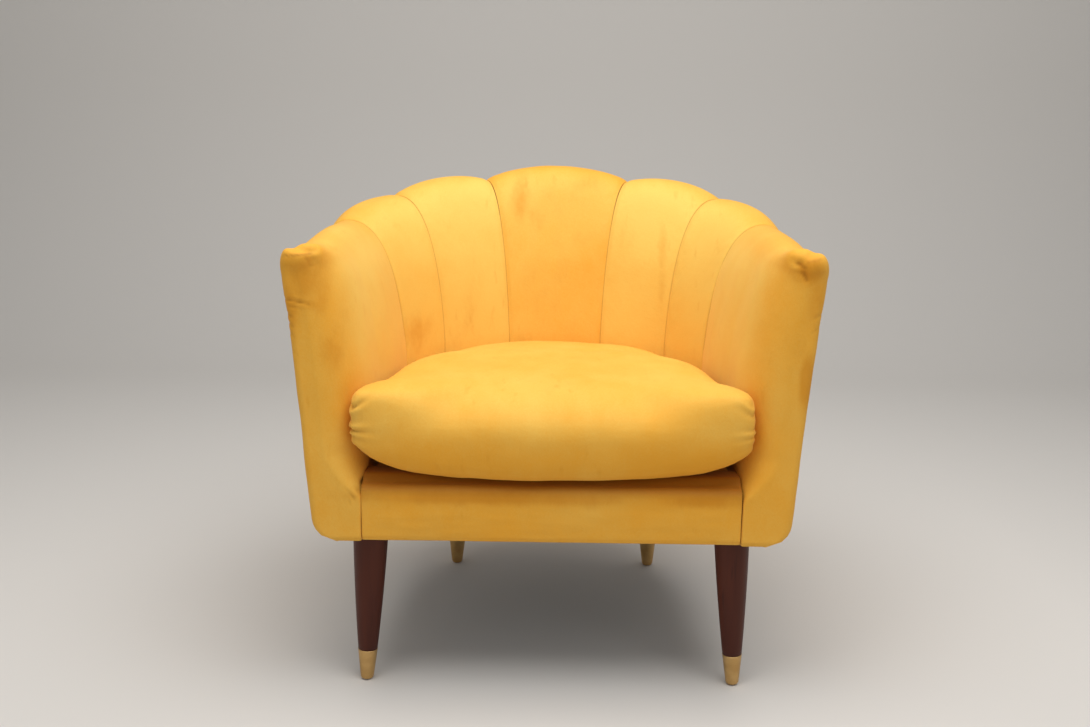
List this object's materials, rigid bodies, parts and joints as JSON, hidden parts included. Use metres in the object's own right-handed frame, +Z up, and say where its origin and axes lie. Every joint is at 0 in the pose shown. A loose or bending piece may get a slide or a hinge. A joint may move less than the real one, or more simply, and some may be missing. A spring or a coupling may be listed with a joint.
{
  "type": "upholstered armchair",
  "caption": "Tub armchair with a sewn channel back that runs into the arms, a loose seat cushion and turned, tapered legs with metal ferrules.",
  "frame": {"origin": "on the floor, under the middle of the chair", "axes": "+Z up, -Y the way the sitter faces, +X to the right of someone who looks at the front"},
  "size_m": [0.7884, 0.72, 0.752],
  "materials": {
    "velvet": "short-pile velvet, mustard yellow",
    "board": "hardboard",
    "beech": "planed beech",
    "hessian": "woven hessian",
    "plywood": "sanded birch plywood",
    "filling": "foam wrapped in fibre",
    "dust_cloth": "spun non-woven cloth",
    "brass": "satin",
    "nylon": "moulded nylon",
    "zinc_steel": "zinc plated",
    "leg_wood": "satin stained hardwood",
    "webbing": "woven elastic webbing"
  },
  "bodies": {
    "chair": {"arm_facing_left": "velvet", "arm_facing_right": "velvet", "arm_panel_left": "board", "arm_panel_right": "board", "arm_rail_left": "beech", "arm_rail_right": "beech", "back_hessian": "hessian", "back_rail": "beech", "base_frame": "plywood", "channel_arm_left": "velvet", "channel_arm_right": "velvet", "channel_centre": "velvet", "channel_inner_left": "velvet", "channel_inner_right": "velvet", "channel_outer_left": "velvet", "channel_outer_right": "velvet", "crest_rail": "plywood", "deck_pad": "velvet", "dust_cover": "dust_cloth", "ferrules": "brass", "front_border": "velvet", "front_rail": "beech", "glides": "nylon", "hanger_bolts": "zinc_steel", "leg_nuts": "zinc_steel", "legs_front": "leg_wood", "legs_rear": "leg_wood", "outside_arm_left": "velvet", "outside_arm_right": "velvet", "outside_back": "velvet", "rib_back_left": "plywood", "rib_back_right": "plywood", "rib_corner_left": "plywood", "rib_corner_right": "plywood", "rib_front_left": "plywood", "rib_front_right": "plywood", "rib_side_left": "plywood", "rib_side_right": "plywood", "seat_webbing_cross": "webbing", "seat_webbing_long": "webbing", "side_rail_left": "beech", "side_rail_right": "beech"},
    "seat_cushion": {"cushion_cover": "velvet", "cushion_filling": "filling"}
  },
  "joints": [
    {"name": "cushion_lift", "type": "slide", "parent": "chair", "child": "seat_cushion", "axis": [0, 0, 1], "range_m": [0, 0.45]}
  ]
}
